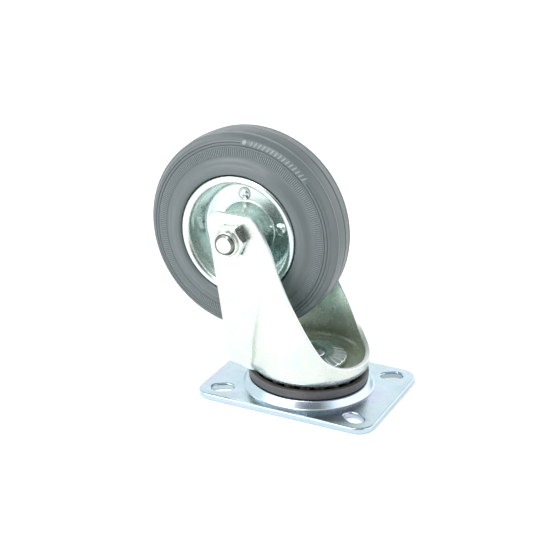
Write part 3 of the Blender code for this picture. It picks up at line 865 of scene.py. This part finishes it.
def hexagon_sections(low, high, bore, chamfer_low, chamfer_high):
    """Sections of a hexagon: chamfered ends, slightly eased corners."""
    half = HEX_FLATS / 2
    corner = half / math.cos(math.pi / 6)
    washer = half * 0.97
    slope = math.tan(math.radians(30))
    sections = []
    per_side = 16
    for step in range(6 * per_side):
        angle = 2 * math.pi * step / (6 * per_side)
        beside = (angle % (math.pi / 3)) - math.pi / 6
        radius = min(half / math.cos(beside), corner * 0.985)
        drop = max(0.00001, (radius - washer) * slope)
        section = [(washer, high), (radius, high - drop * chamfer_high),
                   (radius, low + drop * chamfer_low), (washer, low)]
        sections.append((angle + HEX_TURN - math.pi / 6,
                         [(bore, high)] + section + [(bore, low)]))
    return sections


def threaded_rod(bm, low, high):
    """A rod with a screw thread; its lower end is chamfered and closed."""
    rows_per_turn, steps = 10, 60
    depth = THREAD_PITCH * 0.45
    rows = int((high - low) / THREAD_PITCH * rows_per_turn)
    rings = []
    for row in range(rows + 1):
        height = low + (high - low) * row / rows
        ring = []
        for step in range(steps):
            angle = 2 * math.pi * step / steps
            phase = (height / THREAD_PITCH - angle / (2 * math.pi)) % 1.0
            tooth = min(1.0, abs(phase - 0.5) * 2.5)
            radius = BOLT_RADIUS - depth * tooth
            radius = min(radius, BOLT_RADIUS - BOLT_CHAMFER + (height - low))
            ring.append(bm.verts.new(polar(radius, angle, height)))
        rings.append(ring)
    join_rings(bm, rings, 1)
    bm.faces.new(rings[-1])
    inner = [bm.verts.new((vert.co.x * 0.96, vert.co.y * 0.96, low - 0.00004))
             for vert in rings[0]]
    join_rings(bm, [inner, rings[0]])
    bm.faces.new(inner)


def make_bolt(material, thread):
    bm = bmesh.new()
    base = LEG_FACE + GAP
    turn(bm, hexagon_sections(base + 0.0004, HEAD_TOP, 0, 0.0, 1.0), closed=False)
    lathe(bm, rounded(((0, base + 0.001, 0), (0.0084, base + 0.001, 0), (0.0084, base, 0),
                       (BOLT_RADIUS, base, 0), (BOLT_RADIUS, -LEG_FACE, 0),
                       (0, -LEG_FACE, 0)), closed=False), SMALL, closed=False)
    threaded_rod(bm, -BOLT_TIP, -LEG_FACE + 0.002)
    bolt = finish_mesh("hex_bolt", bm, [material, thread], WHEEL_PLACE)
    place_piece(bolt, "fork_assembly", "zinc_bright", "axle_bolt")


def make_nut(material, nylon):
    """Lock nut: chamfered hexagon, round collar crimped over a nylon ring."""
    base = -LEG_FACE - GAP
    top = -NUT_TIP
    shoulder = base - NUT_HEX
    bore = BOLT_RADIUS + GAP
    bm = bmesh.new()
    turn(bm, hexagon_sections(shoulder, base, bore, 1.0, 1.0))
    collar = rounded(((bore, shoulder + 0.001, 0), (NUT_COLLAR + 0.0003, shoulder + 0.001, 0),
                      (NUT_COLLAR - 0.0004, top + 0.0001, 0.0010), (0.0064, top, 0.0004),
                      (0.0064, top + 0.0008, 0), (0.0072, top + 0.0010, 0),
                      (0.0072, top + 0.0030, 0), (bore, top + 0.0030, 0)), 5)
    lathe(bm, collar, SMALL)
    nut = finish_mesh("lock_nut", bm, [material], WHEEL_PLACE)
    place_piece(nut, "fork_assembly", "zinc_bright", "axle_nut")
    ring = rounded(((bore, top + 0.0027, 0), (0.0070, top + 0.0027, 0),
                    (0.0070, top + 0.0012, 0), (bore, top + 0.0010, 0.0001)), 3)
    insert = turned_piece("nylon_ring", ring, SMALL, nylon, WHEEL_PLACE)
    place_piece(insert, "fork_assembly", "nylon", "nut_insert")


def make_axle_inner(zinc_bright, steel):
    bore = BOLT_RADIUS + GAP
    radius = 0.0105
    for name, side, node in (("washer_near", -1, "spacer_near"),
                             ("washer_far", 1, "spacer_far")):
        ease = 0.0003
        profile = rounded([(x, side * y, r) for x, y, r in (
            (bore, SPACER_OUT, 0.0002), (radius, SPACER_OUT, ease),
            (radius, SPACER_IN, ease), (bore, SPACER_IN, 0.0002))], 3)
        washer = turned_piece(name, profile, SMALL, zinc_bright, WHEEL_PLACE)
        place_piece(washer, "fork_assembly", "zinc_bright", node)
    end = SPACER_IN - GAP
    profile = rounded(((bore, end, 0.0003), (SLEEVE_RADIUS, end, 0.0004),
                       (SLEEVE_RADIUS, -end, 0.0004), (bore, -end, 0.0003)), 3)
    sleeve = turned_piece("running_sleeve", profile, SMALL, steel, WHEEL_PLACE)
    place_piece(sleeve, "fork_assembly", "ball_steel", "axle_sleeve")


def make_bearing(steel, plastic):
    """Eight rollers in a moulded cage of two rings and eight bars."""
    pitch = (SLEEVE_RADIUS + HUB_BORE) / 2
    roller, half, cage_half, rollers = 0.0014, 0.013, 0.0165, 8
    bm = bmesh.new()
    bars = bmesh.new()
    inner, outer = pitch - 0.0009, pitch + 0.0009
    for side in (-1, 1):
        ends = sorted((side * (half + GAP), side * cage_half))
        lathe(bars, [(inner, ends[1]), (outer, ends[1]), (outer, ends[0]),
                     (inner, ends[0])], SMALL)
    for index in range(rollers):
        angle = 2 * math.pi * index / rollers
        place = Matrix.Translation(polar(pitch, angle))
        lathe_at(bm, rounded(((0, half, 0), (roller, half, 0.0002),
                              (roller, -half, 0.0002), (0, -half, 0)), 2, closed=False),
                 20, place)
        between = angle + math.pi / rollers
        bar_arc = 2 * math.pi / rollers - 2 * (roller + GAP) / pitch
        cage_bar(bars, inner, outer, half + 0.001, between, bar_arc)
    roller_set = finish_mesh("rollers", bm, [steel], WHEEL_PLACE)
    place_piece(roller_set, "roller_set", "ball_steel",
                *[f"roller_{number}" for number in range(1, rollers + 1)])
    cage = finish_mesh("bearing_cage", bars, [plastic], WHEEL_PLACE)
    place_piece(cage, "roller_set", "cage_plastic", "roller_cage")


def lathe_at(bm, profile, steps, place):
    """A turned solid at its own place inside a shared mesh."""
    before = set(bm.verts)
    lathe(bm, profile, steps, closed=False)
    added = [vert for vert in bm.verts if vert not in before]
    bmesh.ops.transform(bm, matrix=place, verts=added)


def cage_bar(bm, inner, outer, half, middle, arc):
    """A curved bar of the cage, between two rollers."""
    steps = 4
    rings = []
    for step in range(steps + 1):
        angle = middle + arc * (step / steps - 0.5)
        way = Vector(polar(1, angle))
        up = Vector((0, 0, half))
        rings.append([bm.verts.new(point) for point in (
            way * inner - up, way * outer - up, way * outer + up, way * inner + up)])
    join_rings(bm, rings)
    bm.faces.new(rings[0])
    bm.faces.new(rings[-1])


# ---- wheel

def make_rim(name, side, node, material):
    """A pressed dish: rolled flange, bowl, web that rises towards the hub, hub boss."""
    web = WEB_GAP + RIM_SHEET / 2
    boss = HUB_RADIUS + GAP + RIM_SHEET / 2
    line = rounded(((RIM_FLANGE, 0.0156, 0), (RIM_FLANGE - 0.0002, 0.0177, 0.0010),
                    (RIM_FLANGE - 0.0037, 0.0174, 0.0024),
                    (RIM_FLANGE - 0.0042, 0.0120, 0.0030), (0.0292, web, 0.0030),
                    (0.0166, web + WEB_RISE, 0.0022), (0.0141, 0.0108, 0.0060),
                    (boss, 0.0184, 0)),
                   8, closed=False)
    profile = sheet_profile([Vector((x, side * y)) for x, y in line], RIM_SHEET)
    rim = turned_piece(name, profile, FINE, material, WHEEL_PLACE)
    place_piece(rim, "wheel", "zinc_rim", node)


def make_rivets(material):
    """Domed rivets, with a head on each side of the two webs."""
    outside = WEB_GAP + RIM_SHEET + WEB_RISE * 0.55
    head, dome, shank = 0.0041, 0.0024, 0.002
    arc = []
    steps = 7
    for step in range(steps + 1):
        angle = math.radians(90 - 82 * step / steps)
        arc.append((head * math.cos(angle) / math.cos(math.radians(8)),
                    outside + dome * (math.sin(angle) - math.sin(math.radians(8)))))
    arc[0] = (0, arc[0][1])
    half = arc + [(head, outside), (shank, outside)]
    profile = half + [(radius, -height) for radius, height in reversed(half)]
    for number in range(4):
        angle = -RIVET_START + number * math.pi / 2
        spot = Matrix.Translation(polar(RIVET_CIRCLE, angle))
        rivet = turned_piece(f"rivet_{number + 1}", profile, 36, material,
                             WHEEL_PLACE @ spot, closed=False, sharp=50)
        place_piece(rivet, "wheel", "zinc_rim", f"rim_rivet_{number + 1}")


def wall_corners():
    """Half of the tyre's outline, from the middle of the tread to the rim."""
    return ((WHEEL_RADIUS - 0.0010, 0.0, 0), (WHEEL_RADIUS - 0.0008, 0.0003, 0),
            (WHEEL_RADIUS, 0.0006, 0.0002), (WHEEL_RADIUS - 0.0006, 0.0060, 0.015),
            (WHEEL_RADIUS - 0.0010, 0.0078, 0.0003), (WHEEL_RADIUS - 0.0006, 0.0081, 0.0001),
            (WHEEL_RADIUS - 0.0006, 0.0085, 0.0001), (WHEEL_RADIUS - 0.0014, 0.0088, 0.0003),
            (WHEEL_RADIUS - 0.0032, 0.0123, 0.005),
            (0.0573, 0.0139, 0.004), (0.0500, 0.0147, 0.020), (0.0463, 0.0152, 0.005),
            (0.0438, 0.0180, 0.0024), (0.0412, TYRE_HALF, 0.0017),
            (0.0388, 0.0185, 0.0012), (0.0377, 0.0172, 0.0006), (0.0377, 0.0146, 0),
            (0.0345, 0.0135, 0), (0.0312, 0.0030, 0))


def wall_height(outline, radius):
    """How far out the side wall stands at a radius."""
    for (first, height), (second, far) in zip(outline, outline[1:]):
        if second <= radius <= first and first - second > 1e-7:
            return height + (far - height) * (first - radius) / (first - second)
    raise ValueError(f"no side wall at radius {radius}")


def dense_wall(outline, low, high, spacing):
    """The outline with extra points between two radii."""
    dense = []
    for first, second in zip(outline, outline[1:]):
        dense.append(tuple(first))
        if first[0] > low and second[0] < high and first[1] > SIDE_WALL:
            pieces = max(1, int((Vector(first) - Vector(second)).length / spacing))
            for piece in range(1, pieces):
                share = piece / pieces
                dense.append((first[0] + (second[0] - first[0]) * share,
                              first[1] + (second[1] - first[1]) * share))
    dense.append(tuple(outline[-1]))
    return dense


def panel_share(radius, angle):
    """1 on the raised blank panel, falling smoothly to 0 around its round ends."""
    middle = sum(PLAQUE) / 2
    half = (PLAQUE[1] - PLAQUE[0]) / 2
    low, high = (end * middle for end in PLAQUE_ARC)
    along = angle * middle
    beyond = max(low + half - along, along - high + half, 0.0)
    distance = math.hypot(beyond, radius - middle) - half
    return min(1.0, max(0.0, -distance / 0.0005))


def make_tyre(material, crest_highlight):
    outline = rounded(wall_corners(), 5, closed=False)
    wall = dense_wall([tuple(point) for point in outline], *MOULDED, 0.00017)
    groove_half, groove_depth = 0.0004, 0.0006
    fine_step, coarse_step, margin = math.radians(0.5), math.radians(1.5), 0.06
    angles = []
    angle = 0.0
    while angle < 2 * math.pi - 1e-6:
        angles.append(angle)
        near = PLAQUE_ARC[0] - margin < angle < PLAQUE_ARC[1] + margin
        angle += fine_step if near else coarse_step
    bm = bmesh.new()
    sections = []
    for angle in angles:
        half = []
        for radius, height in wall:
            shift = 0.0
            if height > SIDE_WALL and radius > 0.05:
                share = panel_share(radius, angle)
                near = min(abs(radius - groove) for groove in GROOVES)
                cut = groove_depth * max(0.0, 1 - near / groove_half)
                shift = PANEL_RISE * share - cut * (1 - share)
            half.append((radius, height + shift))
        section = ([(radius, height) for radius, height in reversed(half)]
                   + [(radius, -height) for radius, height in half[1:]])
        sections.append((-angle, section))
    turn(bm, sections)
    # Faces on the two shoulder ridges take the lighter rubber: a painted highlight.
    for face in bm.faces:
        if RIDGE[0] < abs(face.calc_center_median().z) < RIDGE[1]:
            face.material_index = 1
    for side in (-1, 1):
        for rib in range(RIBS):
            add_rib(bm, wall, 2 * math.pi * rib / RIBS, side)
        add_marks(bm, wall, side)
    tyre = finish_mesh("rubber_tyre", bm, [material, crest_highlight], WHEEL_PLACE, sharp=50)
    place_piece(tyre, "wheel", "tyre_grey", "tyre")


def add_rib(bm, wall, angle, side):
    """One fine moulded rib: a low ridge with sloping flanks."""
    low, high = RIB_ENDS
    half_width, rise, sunk, slope = 0.00032, 0.0004, 0.0002, 0.0003
    along = Vector(polar(1, angle))
    beside = Vector((-math.sin(angle), math.cos(angle), 0))

    def point(radius, across, lift):
        height = side * (wall_height(wall, radius) + lift)
        return bm.verts.new(along * radius + beside * across + Vector((0, 0, height)))

    foot = [point(radius, across, -sunk) for radius, across in (
        (low, -half_width), (high, -half_width), (high, half_width), (low, half_width))]
    crest = [point(radius, across, rise) for radius, across in (
        (low + slope, -half_width * 0.5), (high - slope, -half_width * 0.5),
        (high - slope, half_width * 0.5), (low + slope, half_width * 0.5))]
    # The rib's crest takes the lighter rubber: a painted highlight.
    bm.faces.new(crest).material_index = 1
    bm.faces.new(foot[::-1])
    join_rings(bm, [foot, crest])


def add_marks(bm, wall, side):
    """Plain moulded studs that follow the blank panel: a round one, then slanted bars."""
    middle = sum(PLAQUE) / 2
    stud = 0.00025
    start, stop = PLAQUE_ARC
    spots = [(stop - 0.045, 0.0016, 0.0016, 0.0)]
    bars = 15
    for bar in range(bars):
        share = (bar + 0.5) / bars
        spots.append((stop - 0.10 - (stop - start - 0.14) * share, 0.00050, 0.0018, 0.4))
    for angle, half_width, half_length, lean in spots:
        outline = rounded_box(half_length, half_width,
                              min(half_width, half_length) * 0.98, 3)

        def point(across, along, height):
            spot = Vector((middle + across * math.cos(lean) - along * math.sin(lean),
                           across * math.sin(lean) + along * math.cos(lean), 0))
            spot.z = side * (wall_height(wall, spot.length) + PANEL_RISE + height)
            spot.rotate(Matrix.Rotation(-angle, 3, "Z"))
            return bm.verts.new(spot)

        rings = [[point(x * scale, y * scale, height) for x, y in outline]
                 for scale, height in ((1.0, -0.0003), (1.0, stud * 0.7), (0.85, stud))]
        join_rings(bm, rings)
        bm.faces.new(rings[0])
        # The stud's top takes the lighter rubber: a painted highlight.
        crest = point(0, 0, stud)
        for index, corner in enumerate(rings[-1]):
            after = rings[-1][(index + 1) % len(outline)]
            bm.faces.new((corner, after, crest)).material_index = 1


def make_hub_tube(steel):
    profile = rounded(((HUB_BORE, HUB_HALF, 0.0004), (HUB_RADIUS, HUB_HALF, 0.0003),
                       (HUB_RADIUS, -HUB_HALF, 0.0003), (HUB_BORE, -HUB_HALF, 0.0004)), 3)
    tube = turned_piece("hub_liner", profile, SMALL, steel, WHEEL_PLACE)
    place_piece(tube, "wheel", "ball_steel", "hub_tube")


# ---- studio

def make_camera():
    azimuth, elevation, roll = (math.radians(angle) for angle in CAMERA_ANGLES)
    back = Vector((math.sin(azimuth) * math.cos(elevation),
                   -math.cos(azimuth) * math.cos(elevation), math.sin(elevation)))
    right = Vector((math.cos(azimuth), math.sin(azimuth), 0))
    up = back.cross(right)
    target = right * CAMERA_AIM[0] + Vector((0, 0, CAMERA_AIM[1]))
    across = right * math.cos(roll) + up * math.sin(roll)
    above = up * math.cos(roll) - right * math.sin(roll)
    data = bpy.data.cameras.new("camera")
    data.sensor_width = 36.0
    data.lens = CAMERA_LENS
    data.clip_start, data.clip_end = 0.05, 20.0
    camera = bpy.data.objects.new("camera", data)
    camera.matrix_world = (Matrix.Translation(target + back * CAMERA_DISTANCE)
                           @ Matrix((across, above, back)).transposed().to_4x4())
    bpy.context.scene.collection.objects.link(camera)
    bpy.context.scene.camera = camera


def area_light(name, place, aim, size, power):
    data = bpy.data.lights.new(name, "AREA")
    data.shape = "RECTANGLE"
    data.size, data.size_y = size
    data.energy = power
    light = bpy.data.objects.new(name, data)
    light.location = place
    light.rotation_euler = (Vector(aim) - Vector(place)).to_track_quat("-Z", "Y").to_euler()
    bpy.context.scene.collection.objects.link(light)


def make_studio():
    """Pale floor, two soft boxes, and a sky that is brighter on the right.

    The sky darkens overhead and in one patch low at the front right.
    """
    bm = bmesh.new()
    bmesh.ops.create_grid(bm, x_segments=8, y_segments=8, size=40.0)
    nodes = Nodes("studio_floor", 0.9, 0.0)
    tone = nodes.colours(nodes.noise(0.7, 1.0), ((0.3, (0.93, 0.93, 0.93)),
                                                 (0.7, (0.95, 0.95, 0.95))))
    nodes.base(tone)
    nodes.shader.inputs["Specular IOR Level"].default_value = 0.0
    nodes.shader.inputs["Emission Color"].default_value = (1, 1, 1, 1)
    nodes.shader.inputs["Emission Strength"].default_value = FLOOR_GLOW
    floor = finish_mesh("studio_floor", bm, [nodes.material])
    floor.location.z = -0.0002

    world = bpy.data.worlds.new("studio")
    world.use_nodes = True
    tree = world.node_tree
    background = tree.nodes["Background"]
    sky = tree.nodes.new("ShaderNodeTexCoord").outputs["Generated"]
    strength = None
    for axis, span, strengths in SKY:
        share = sky_ramp(tree, sky, axis, span, strengths)
        if strength is not None:
            both = tree.nodes.new("ShaderNodeMath")
            both.operation = "MULTIPLY"
            tree.links.new(strength, both.inputs[0])
            tree.links.new(share, both.inputs[1])
            share = both.outputs["Value"]
        strength = share
    background.inputs["Color"].default_value = (1.0, 1.0, 1.0, 1)
    tree.links.new(strength, background.inputs["Strength"])
    bpy.context.scene.world = world
    area_light("key", (-0.34, -0.52, 0.52), (-0.04, -0.12, 0.0), (0.62, 0.46), KEY_POWER)
    area_light("top", (-0.02, -0.30, 0.68), (-0.04, 0, 0.09), (0.16, 0.16), TOP_POWER)
    bpy.context.scene.view_settings.view_transform = "Standard"


def sky_ramp(tree, direction, axis, span, strengths):
    """Sky strength that changes smoothly with the direction along an axis."""
    along = tree.nodes.new("ShaderNodeVectorMath")
    along.operation = "DOT_PRODUCT"
    along.inputs[1].default_value = axis
    tree.links.new(direction, along.inputs[0])
    ramp = tree.nodes.new("ShaderNodeMapRange")
    ramp.interpolation_type = "SMOOTHSTEP"
    tree.links.new(along.outputs["Value"], ramp.inputs["Value"])
    for socket, number in zip(("From Min", "From Max", "To Min", "To Max"),
                              span + strengths):
        ramp.inputs[socket].default_value = number
    return ramp.outputs["Result"]


def main():
    zinc_plate, zinc_collar = make_zinc_plate(), make_zinc_collar()
    zinc_bright = zinc("zinc_bright", ((0.62, 0.66, 0.65), (0.68, 0.70, 0.67)),
                       0.20).material
    zinc_rim = zinc("zinc_rim", ((0.58, 0.71, 0.72), (0.62, 0.73, 0.72),
                                 (0.68, 0.73, 0.69)), 0.25, 30.0, 0.000005).material
    steel, dark_ball_steel = make_steel(), make_shade_dark_steel()
    make_plate(zinc_plate, zinc_collar)
    make_seal(make_plastic("black_plastic", (0.062, 0.062, 0.065), (0.084, 0.083, 0.087),
                           0.34, 0.00002))
    # The king pin's zinc is darker than the other plating: painted shade for its place inside
    # the crown.
    make_king_pin(zinc("zinc_pin_painted_shade", ((0.30, 0.37, 0.39), (0.38, 0.43, 0.44)), 0.28).material)
    # The cup's zinc is lighter and more teal than the other plating: painted light for its
    # place deep in the crown.
    make_cup(zinc("zinc_cup_painted_light", ((0.74, 0.87, 0.85), (0.80, 0.90, 0.88)), 0.21).material)
    load_z = (COLLAR_TOP + FLOOR_BOTTOM) / 2 - 0.0001
    lock_z = FLOOR_BOTTOM + SHEET + 0.0018
    # Both ball rows take the near-black steel: painted shade for the gap under the crown.
    make_ball_row("load_balls", LOAD_BALL, load_z, "load_ball_row",
                  [f"load_ball_{number:02d}" for number in range(1, 21)], dark_ball_steel)
    make_ball_row("lock_balls", LOCK_BALL, lock_z, "lock_ball_row",
                  [f"lock_ball_{number:02d}" for number in range(1, 11)], dark_ball_steel)
    make_fork(make_zinc_fork(), zinc("zinc_cut", ((0.74, 0.80, 0.79), (0.80, 0.83, 0.81)),
                                     0.42).material)
    # The thread's zinc is much darker than the other plating: painted shade in the recess at
    # the bolt's end.
    make_bolt(zinc_bright, zinc("zinc_thread_painted_shade", ((0.16, 0.18, 0.17), (0.24, 0.26, 0.24)),
                                0.30).material)
    make_nut(zinc_bright, make_plastic("nylon", (0.62, 0.66, 0.68), (0.70, 0.73, 0.74),
                                       0.42, 0.00002))
    make_axle_inner(zinc_bright, steel)
    make_bearing(steel, make_plastic("cage_plastic", (0.60, 0.58, 0.50),
                                     (0.68, 0.66, 0.58), 0.45, 0.00002))
    make_rim("rim_dish_near", -1, "rim_near", zinc_rim)
    make_rim("rim_dish_far", 1, "rim_far", zinc_rim)
    make_rivets(zinc_rim)
    # The second rubber is 1.95 times lighter: a painted highlight on shoulder ridges, rib
    # crests and stud tops.
    make_tyre(make_rubber("tyre_rubber", 1.0), make_rubber("rubber_painted_highlight", 1.95))
    make_hub_tube(steel)
    make_studio()
    make_camera()


main()
